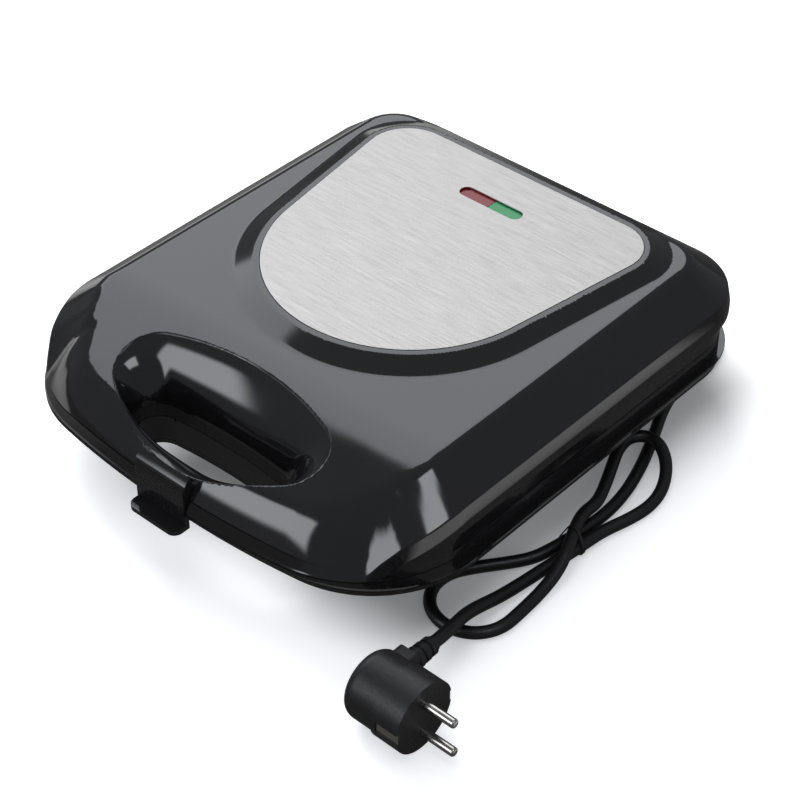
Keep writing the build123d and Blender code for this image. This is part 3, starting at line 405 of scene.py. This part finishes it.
dy = np.clip((lid_surface(flat + (0, 0.04)) - lid_surface(flat - (0, 0.04))) / 0.08, -9, 9)
top_normals = np.stack([-dx, -dy, np.ones_like(dx)], axis=1)
lid_points = [np.column_stack([flat, lid_surface(flat)])]
lid_normals = [top_normals / np.linalg.norm(top_normals, axis=1)[:, None]]


def add_rows(rows):
    """Closed strip of quads between rows of points, with normals from the rows themselves."""
    grid = np.array(rows)
    count, length = grid.shape[:2]
    base = sum(len(p) for p in lid_points)
    normal = np.cross(np.roll(grid, -1, axis=1) - np.roll(grid, 1, axis=1), np.gradient(grid, axis=0))
    normal /= np.maximum(np.linalg.norm(normal, axis=2), 1e-9)[:, :, None]
    for i in range(count - 1):
        for j in range(length):
            k = (j + 1) % length
            lid_faces.append([base + i * length + j, base + i * length + k,
                              base + (i + 1) * length + k, base + (i + 1) * length + j])
    lid_points.append(grid.reshape(-1, 3))
    lid_normals.append(normal.reshape(-1, 3))


throat = oval(-143.0, -112.5, 330.0, 330.0, 13.0, 0.0)
brim_z = lid_height(hole_line[:, 0], hole_line[:, 1]) - edge_round
rows = []
for t in np.linspace(0, 1, 26):
    near = 0.55 * t + 0.45 * sin(pi * t / 2)
    down = 0.55 * t + 0.45 * (1 - cos(pi * t / 2))
    ring = hole_line + (throat - hole_line) * near
    rows.append(np.column_stack([ring, brim_z + (throat_z - brim_z) * down]))
rows += [np.column_stack([throat, np.full(len(throat), z)]) for z in (53.6, 52.2)]
add_rows(rows)
add_rows([np.column_stack([loops[2], np.full(len(loops[2]), z)]) for z in (91.0, 90.4, 88.0)])

lid_mesh = bpy.data.meshes.new("lid_top")
lid_mesh.from_pydata((np.vstack(lid_points) / 1000).tolist(), [], lid_faces)
lid_mesh.shade_smooth()
lid_mesh.normals_split_custom_set_from_vertices(np.vstack(lid_normals).tolist())
lid_mesh.materials.append(gloss_black)
lid_top = bpy.data.objects.new("lid_top", lid_mesh)
bpy.context.scene.collection.objects.link(lid_top)


def bent(corners):
    """Points along a line of (inset, height, radius) corners, with each corner rounded."""
    line = [corners[0][:2]]
    for (ax, az, _), (bx, bz, r), (cx, cz, _) in zip(corners, corners[1:], corners[2:]):
        back = min(r / max(np.hypot(ax - bx, az - bz), 1e-6), 0.45)
        on = min(r / max(np.hypot(cx - bx, cz - bz), 1e-6), 0.45)
        p = (bx + (ax - bx) * back, bz + (az - bz) * back)
        q = (bx + (cx - bx) * on, bz + (cz - bz) * on)
        for t in (0, 0.2, 0.4, 0.6, 0.8, 1):
            line.append(tuple((1 - t) ** 2 * u + 2 * t * (1 - t) * v + t * t * w
                              for u, v, w in zip(p, (bx, bz), q)))
    return line + [corners[-1][:2]]


def edge_column(station, roof):
    """Edge of the lid at one place of the outline; roof is the top of the channel there, or None."""
    x, y, nx, ny = station
    turn = np.degrees(np.arctan2(-ny, nx))
    rim, lean = float(rim_height(turn)), float(bevel_slope(turn))
    wall_top = max(rim - wall_drop, wall_low)
    merge = min(max((turn - 40.0) / 8.0, 0), 1)
    ceiling = roof if roof else min(channel_top, wall_top) - 0.1
    depth = channel_depth if roof else 0.0
    shift = merge_inset * merge
    line = bent([(edge_inset, rim + lean * (edge_inset - rim_inset), 0),
                 (rim_inset - shift, rim - shift * lean, 0.7),
                 (0, wall_top, 1.2), (0, ceiling, 0.9), (depth, ceiling - (0 if roof else 0.01), 0.8),
                 (depth, lid_low, 0.4), (7.0, lid_low, 0)])
    return [(x - nx * i, y - ny * i, z) for i, z in line]


columns = []
for station in body_line:
    x, y = station[:2]
    short = max(channel_front + channel_end - y, 0.0)
    at_front, at_rear = abs(y - channel_front) < 1e-6, y > 100 and abs(x - channel_half) < 1e-6
    roof = channel_top - channel_end + sqrt(max(channel_end ** 2 - short ** 2, 0.0))
    cut = y >= channel_front - 1e-6 and (y < 100 or x >= channel_half - 1e-6)
    if at_rear:
        columns.append(edge_column(station, None))
    if cut:
        columns.append(edge_column(station, roof))
    if at_front or not cut:
        columns.append(edge_column(station, None))
mirrored = [[(-x, y, z) for x, y, z in column] for column in reversed(columns[1:])]
columns = mirrored + columns

side = bmesh.new()
grid = [[side.verts.new(Vector(p) / 1000) for p in column] for column in columns]
for one, other in zip(grid, grid[1:]):
    for a, b, c, d in zip(one, one[1:], other[1:], other):
        side.faces.new((a, b, c, d))


def add_face(points):
    side.faces.new([side.verts.new(Vector(p) / 1000) for p in points])


last = columns[-1]
front_line = last[:last.index(min(last, key=lambda p: (p[2], p[1]))) + 1]
brow = lid_surface(np.array([(notch_half, notch_back)]))[0]
right_back, left_back, left_foot, right_foot = [
    (x, y, recess_z) for x, y in ((notch_half, notch_back), (-notch_half, notch_back),
                                  (-notch_half, notch_foot), (notch_half, notch_foot))]
right_low, left_low = [(x, notch_foot, lid_low) for x in (notch_half, -notch_half)]
cheek = [right_low, right_foot, right_back, (notch_half, notch_back, brow)]
add_face(front_line + cheek)
add_face([(-x, y, z) for x, y, z in reversed(front_line + cheek)])
crest = [(x, notch_back, z) for (x, y), z in zip(bite, lid_surface(np.array(bite)))]
add_face(crest + [left_back, right_back])
add_face([right_back, left_back, left_foot, right_foot])
add_face([right_foot, left_foot, left_low, right_low])

hinge_x, hinge_y, hinge_z = 62.0, 162.0, 44.0
knuckle_radius, knuckle_half, knuckle_round = 7.0, 8.6, 0.8
root_y, root_top, root_low = 153.4, 62.0, 45.4
turns = [radians(60 - 10 * n) for n in range(25)]
profile = [(root_y, root_top)]
profile += [(hinge_y + knuckle_radius * cos(a), hinge_z + knuckle_radius * sin(a)) for a in turns]
profile.append((root_y, root_low))
knuckle_edges = []
for mid in (-hinge_x, hinge_x):
    left, right = [[side.verts.new((mid / 1000 + reach / 1000, y / 1000, z / 1000)) for y, z in profile]
                   for reach in (-knuckle_half, knuckle_half)]
    rims = [side.faces.new(left), side.faces.new(list(reversed(right)))]
    for n in range(len(profile)):
        k = (n + 1) % len(profile)
        side.faces.new((left[n], right[n], right[k], left[k]))
    knuckle_edges += [e for face in rims for e in face.edges]
bmesh.ops.bevel(side, geom=knuckle_edges, offset=knuckle_round / 1000, segments=3, affect="EDGES", profile=0.5)
bmesh.ops.remove_doubles(side, verts=side.verts, dist=1e-6)
bmesh.ops.dissolve_degenerate(side, edges=side.edges, dist=1e-6)
bmesh.ops.recalc_face_normals(side, faces=side.faces)

edge_mesh = bpy.data.meshes.new("lid_edge")
side.to_mesh(edge_mesh)
side.free()
edge_mesh.shade_smooth()
edge_mesh.set_sharp_from_angle(angle=radians(38))
edge_mesh.materials.append(gloss_black)
lid_edge = bpy.data.objects.new("lid_edge", edge_mesh)
bpy.context.scene.collection.objects.link(lid_edge)
lid_edge.parent = lid_top
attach(lid_top, "lid")
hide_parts("lid_shell")


# Steel panel
# Brushed stainless sheet, punched with one window for the lamps.
# It lies in the raised seat of the lid with a narrow gap all round.

brushed = finish("brushed_steel", (0.65, 0.63, 0.60), 0.42, Metallic=1.0)
grain(brushed, 900.0, 0.00001, rough=(0.36, 0.5), stretch=(0.05, 1, 1),
      tones=((0.61, 0.59, 0.56), (0.69, 0.67, 0.64)))
dress(brushed, "steel_panel")


# Lenses and lamps
# Two clear tinted mouldings in one window, red and green.
# A glass lamp stands under each of them on a small board.

red_tint = finish("red_tint", (0.22, 0.012, 0.014), 0.12, Transmission_Weight=0.25)
grain(red_tint, 60.0, 0.00003, rough=(0.08, 0.18))
dress(red_tint, "red_lens")
green_tint = finish("green_tint", (0.02, 0.30, 0.10), 0.12, Transmission_Weight=0.25)
grain(green_tint, 60.0, 0.00003, rough=(0.08, 0.18))
dress(green_tint, "green_lens")
lamp_glass = finish("lamp_glass", (0.9, 0.85, 0.8), 0.05, Transmission_Weight=0.8)
grain(lamp_glass, 40.0, 0.00002, rough=(0.03, 0.08))
dress(lamp_glass, "red_lamp", "green_lamp")
board = finish("board", (0.05, 0.2, 0.08), 0.45)
grain(board, 300.0, 0.00003, rough=(0.38, 0.55), tones=((0.03, 0.15, 0.05), (0.06, 0.24, 0.1)))
dress(board, "lamp_board")


# Latch
# Glossy black clip with a finger tab, which turns on a steel pin in the lid.
# Its hook catches the block in the front bar of the base.

dress(gloss_black, "latch")


# Supply cord
# Round black flexible lead. It leaves the rear, comes round beside the body and lies in a small tied hank.
# The points are its route in millimetres.

cord_route = [
    (64, 150, 17), (64, 160, 17), (68.2, 171.2, 13), (78.6, 177.3, 7.8), (90.3, 176.9, 4.2),
    (100.5, 170.7, 3.5), (107.6, 157.6, 3.5), (108.2, 138.7, 3.6), (110.4, 117.4, 3.5),
    (115.8, 97.9, 3.5), (123.3, 81.3, 3.5), (129.7, 66.5, 3.5), (135.9, 49.9, 3.6), (141.3, 30.7, 3.6),
    (143.6, 10.7, 3.7), (141.9, -11.3, 4.2), (139.7, -27, 4.4), (136.2, -38.9, 3.8),
    (128.4, -50.1, 3.5), (119.6, -61.3, 3.5), (111.2, -74.7, 3.5), (111.9, -88.8, 3.5),
    (120.7, -99.9, 3.5), (134.4, -103.6, 3.5), (147.7, -98.6, 3.5), (155.6, -86.7, 3.6),
    (155.1, -69.8, 3.5), (154.3, -53.9, 4.1), (153.2, -40.1, 7.2), (149.4, -27.4, 11.4),
    (143.3, -14.4, 12.7), (138.9, -1.8, 11), (139.3, 8.8, 10.5), (134.4, 21.8, 10.5),
    (127.8, 36.4, 10.6), (121.9, 49.5, 10.8), (120.9, 60, 11.1), (126.8, 67.6, 11.1),
    (136.3, 67.3, 10.6), (145.6, 61, 6.4), (153.4, 47.9, 3.6), (157, 32.7, 3.6), (155.2, 18, 3.6),
    (150.3, 0.2, 3.9), (149.2, -12, 4.2), (147.9, -23.5, 4.1), (145, -41, 3.6), (143.2, -56.7, 3.8),
    (141.6, -72.6, 5), (141.1, -86, 9), (142.5, -98.6, 13.8), (145.4, -109.6, 17.6),
    (147, -118.5, 19.4), (147, -127, 19.4),
]
cord_diameter = 6.7

sheath = finish("cord_sheath", (0.012, 0.012, 0.013), 0.38)
grain(sheath, 800.0, 0.00003, rough=(0.3, 0.46))

curve = bpy.data.curves.new("supply_cord", "CURVE")
curve.dimensions = "3D"
spline = curve.splines.new("NURBS")
spline.points.add(len(cord_route) - 1)
for point, (x, y, z) in zip(spline.points, cord_route):
    point.co = (x / 1000, y / 1000, z / 1000, 1.0)
spline.order_u = 3
spline.use_endpoint_u = True
spline.resolution_u = 6
curve.bevel_depth = cord_diameter / 2000
curve.bevel_resolution = 6
curve.materials.append(sheath)
supply_cord = bpy.data.objects.new("supply_cord", curve)
bpy.context.scene.collection.objects.link(supply_cord)
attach(supply_cord, "base")
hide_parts("cord_lead", "cord_hank", "cord_plug_lead")

dress(sheath, "cord_gland", "cord_tie")


# Plug
# Black moulded plug for an earthed socket: two nickel plated pins, and an earth clip on each side.
# A ribbed boot guards the cord where it leaves.

plug_vinyl = finish("plug_vinyl", (0.014, 0.014, 0.015), 0.42)
grain(plug_vinyl, 900.0, 0.00005, rough=(0.34, 0.5))
dress(plug_vinyl, "plug_body")
nickel = finish("nickel", (0.66, 0.64, 0.6), 0.2, Metallic=1.0)
grain(nickel, 500.0, 0.00002, rough=(0.14, 0.28))
dress(nickel, "plug_pins", "plug_earth_clips")


# Studio: floor, lamps and camera
# Plain white floor and soft lamps. To the camera the floor has a light of its own, which fades under
# and beside the body: a painted shadow, laid over the real one. Gloss and metal mirror a dim room with
# three bright screens and a floor that is bright at the left and the right.

floor_mesh = bpy.data.meshes.new("floor")
floor_mesh.from_pydata([(-6, -6, 0), (6, -6, 0), (6, 6, 0), (-6, 6, 0)], [], [(0, 1, 2, 3)])
floor = bpy.data.objects.new("floor", floor_mesh)
bpy.context.scene.collection.objects.link(floor)

floor_finish = finish("floor_white_painted_shadow", (0.8, 0.8, 0.8), 0.9)
floor_tree = floor_finish.node_tree
shader = floor_tree.nodes["Principled BSDF"]
shader.inputs["Specular IOR Level"].default_value = 0.0
shader.inputs["Emission Color"].default_value = (0.5, 0.51, 0.53, 1.0)
seen = floor_tree.nodes.new("ShaderNodeLightPath")
spot = floor_tree.nodes.new("ShaderNodeNewGeometry")


def fading(centre, half, width, level_near, level_far):
    """Level that changes softly over a width outside a rectangle on the floor."""
    spread = spot.outputs["Position"]
    steps = (("SUBTRACT", centre), ("ABSOLUTE", None), ("SUBTRACT", half), ("MAXIMUM", (0, 0, 0)),
             ("LENGTH", None))
    for operation, amount in steps:
        step = floor_tree.nodes.new("ShaderNodeVectorMath")
        step.operation = operation
        floor_tree.links.new(spread, step.inputs[0])
        if amount is not None:
            step.inputs[1].default_value = amount
        spread = step.outputs["Value" if operation == "LENGTH" else "Vector"]
    fade = floor_tree.nodes.new("ShaderNodeMapRange")
    fade.interpolation_type = "SMOOTHSTEP"
    for socket, value in (("From Max", width), ("To Min", level_near), ("To Max", level_far)):
        fade.inputs[socket].default_value = value
    floor_tree.links.new(spread, fade.inputs["Value"])
    return fade.outputs["Result"]


def combined(tree, operation, one, other):
    """One value worked out from two, each a socket or a number."""
    node = tree.nodes.new("ShaderNodeMath")
    node.operation = operation
    for socket, value in zip(node.inputs, (one, other)):
        if isinstance(value, float):
            socket.default_value = value
        else:
            tree.links.new(value, socket)
    return node.outputs["Value"]


# Painted shadow: the floor's light to the camera is dimmed in a box under and beside the body.
painted_shadow_fade = fading((0.04, 0.02, 0.0), (0.08, 0.12, 1.0), 0.05, 0.25, 1.2)
floor_glow_with_painted_shadow = combined(floor_tree, "MULTIPLY", seen.outputs["Is Camera Ray"], painted_shadow_fade)
right_side = fading((0.32, 0.02, 0.0), (0.07, 0.16, 1.0), 0.05, 0.7, 0.0)
left_side = fading((-0.6, 0.1, 0.0), (0.2, 0.5, 1.0), 0.2, 0.85, 0.08)
floor_level = combined(floor_tree, "ADD", right_side, left_side)
mirrored_floor = floor_tree.nodes.new("ShaderNodeEmission")
choice = floor_tree.nodes.new("ShaderNodeMixShader")
for source, target in ((floor_glow_with_painted_shadow, shader.inputs["Emission Strength"]),
                       (floor_level, mirrored_floor.inputs["Strength"]),
                       (seen.outputs["Is Glossy Ray"], choice.inputs["Fac"]),
                       (shader.outputs["BSDF"], choice.inputs[1]),
                       (mirrored_floor.outputs["Emission"], choice.inputs[2]),
                       (choice.outputs["Shader"], floor_tree.nodes["Material Output"].inputs["Surface"])):
    floor_tree.links.new(source, target)
floor_mesh.materials.append(floor_finish)

world = bpy.data.worlds.new("studio")
world.use_nodes = True
bpy.context.scene.world = world
room = world.node_tree
sky = room.nodes["Background"]
sky.inputs["Color"].default_value = (0.20, 0.20, 0.21, 1.0)
white = room.nodes.new("ShaderNodeBackground")
white.inputs["Color"].default_value = (1.0, 1.0, 1.0, 1.0)
screens = room.nodes.new("ShaderNodeBackground")
screens.inputs["Color"].default_value = (0.95, 0.98, 1.04, 1.0)
path = room.nodes.new("ShaderNodeLightPath")
look = room.nodes.new("ShaderNodeTexCoord")


def direction(azimuth, elevation):
    a, e = radians(azimuth), radians(elevation)
    return Vector((sin(a) * cos(e), cos(a) * cos(e), sin(e)))


def share_along(axis):
    """Share of a ray's direction that lies along an axis."""
    share = room.nodes.new("ShaderNodeVectorMath")
    share.operation = "DOT_PRODUCT"
    share.inputs[1].default_value = axis
    room.links.new(look.outputs["Generated"], share.inputs[0])
    return share.outputs["Value"]


def within(axis, half, soft):
    """Factor that is 1 where a ray stays under a half angle across an axis, with a soft edge."""
    size = room.nodes.new("ShaderNodeMath")
    size.operation = "ABSOLUTE"
    edge = room.nodes.new("ShaderNodeMapRange")
    edge.interpolation_type = "SMOOTHSTEP"
    edge.inputs["From Min"].default_value = sin(radians(half + soft))
    edge.inputs["From Max"].default_value = sin(radians(half - soft))
    room.links.new(share_along(axis), size.inputs[0])
    room.links.new(size.outputs["Value"], edge.inputs["Value"])
    return edge.outputs["Result"]


def screen(azimuth, elevation, half_width, half_height, soft, strength):
    """Soft edged bright screen in one direction of the studio, seen only in reflections."""
    middle, across = direction(azimuth, elevation), direction(azimuth + 90, 0)
    ahead = combined(room, "GREATER_THAN", share_along(middle), 0.0)
    lit = combined(room, "MULTIPLY", ahead, strength)
    shape = combined(room, "MULTIPLY", within(across, half_width, soft),
                     within(middle.cross(across), half_height, soft))
    return combined(room, "MULTIPLY", shape, lit)


light = room.nodes.new("ShaderNodeValue").outputs["Value"]
light.default_value = 0.16
for place in ((-56, 41, 24, 17, 1.5, 1.5), (95, 60, 12, 8, 2, 3.0), (-162, 27, 19, 14, 3, 2.8)):
    light = combined(room, "ADD", light, screen(*place))

backdrop = room.nodes.new("ShaderNodeMixShader")
mirrored_room = room.nodes.new("ShaderNodeMixShader")
for source, target in ((light, screens.inputs["Strength"]),
                       (path.outputs["Is Glossy Ray"], mirrored_room.inputs["Fac"]),
                       (sky.outputs["Background"], mirrored_room.inputs[1]),
                       (screens.outputs["Background"], mirrored_room.inputs[2]),
                       (path.outputs["Is Camera Ray"], backdrop.inputs["Fac"]),
                       (mirrored_room.outputs["Shader"], backdrop.inputs[1]),
                       (white.outputs["Background"], backdrop.inputs[2]),
                       (backdrop.outputs["Shader"], room.nodes["World Output"].inputs["Surface"])):
    room.links.new(source, target)


def softbox(name, stand, aim, width, height, power):
    """Soft lamp that lights the object but doesn't show in its gloss."""
    lamp = bpy.data.lights.new(name, "AREA")
    lamp.shape = "RECTANGLE"
    lamp.size = width
    lamp.size_y = height
    lamp.energy = power
    box = bpy.data.objects.new(name, lamp)
    box.location = stand
    box.rotation_mode = "QUATERNION"
    box.rotation_quaternion = (Vector(aim) - Vector(stand)).to_track_quat("-Z", "Y")
    box.visible_glossy = False
    bpy.context.scene.collection.objects.link(box)


softbox("back_box", (-1.3, 0.7, 1.5), (0, 0, 0), 1.4, 1.2, 42)
softbox("top_box", (-0.3, -0.5, 2.2), (0, 0, 0), 1.6, 1.6, 16)
softbox("right_box", (1.6, -0.9, 1.2), (0, 0, 0.05), 1.2, 1.2, 4)

azimuth, elevation = radians(41.82), radians(39.87)
towards_camera = Vector((sin(azimuth) * cos(elevation), -cos(azimuth) * cos(elevation), sin(elevation)))
lens = bpy.data.cameras.new("camera")
lens.lens = 94.6
lens.sensor_width = 36.0
lens.clip_start = 0.01
camera = bpy.data.objects.new("camera", lens)
camera.location = (0.59074, -0.64646, 0.73819)
camera.rotation_mode = "QUATERNION"
camera.rotation_quaternion = (-towards_camera).to_track_quat("-Z", "Y")
bpy.context.scene.collection.objects.link(camera)
bpy.context.scene.camera = camera
bpy.context.scene.view_settings.view_transform = "Standard"
